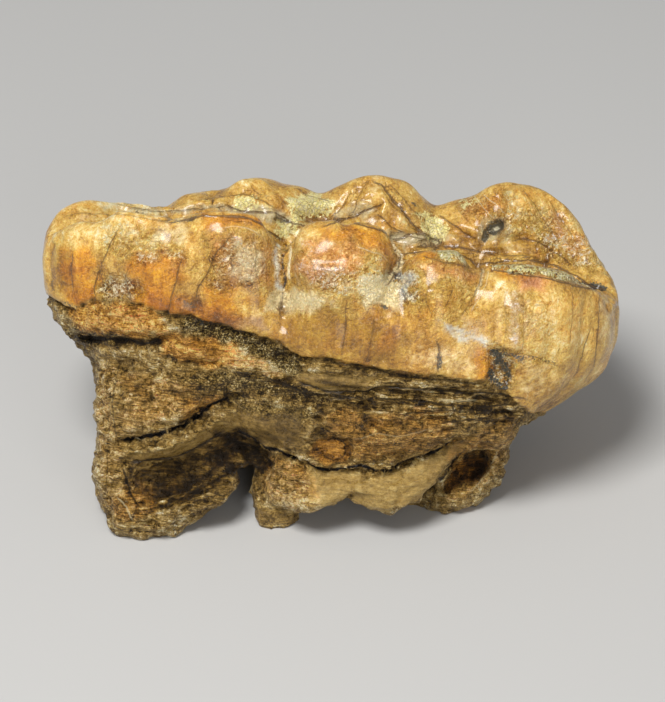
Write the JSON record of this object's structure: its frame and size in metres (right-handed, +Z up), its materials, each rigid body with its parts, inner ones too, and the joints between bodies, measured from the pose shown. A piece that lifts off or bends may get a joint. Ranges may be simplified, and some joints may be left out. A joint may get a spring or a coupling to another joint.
{
  "type": "fossil cave bear tooth",
  "caption": "Fossil upper molar of a cave bear: a long low crown with a rugged chewing face, resting on its broken roots.",
  "frame": {"origin": "under the middle of the tooth's box, on the floor it rests on", "axes": "+X runs along the crown to its mesial (front) end, -Y is the lingual side with the broken root, +Z is up"},
  "size_m": [0.0456, 0.0246, 0.0247],
  "materials": {
    "tooth": "satin"
  },
  "bodies": {
    "root": {"tooth": "tooth"}
  },
  "joints": []
}
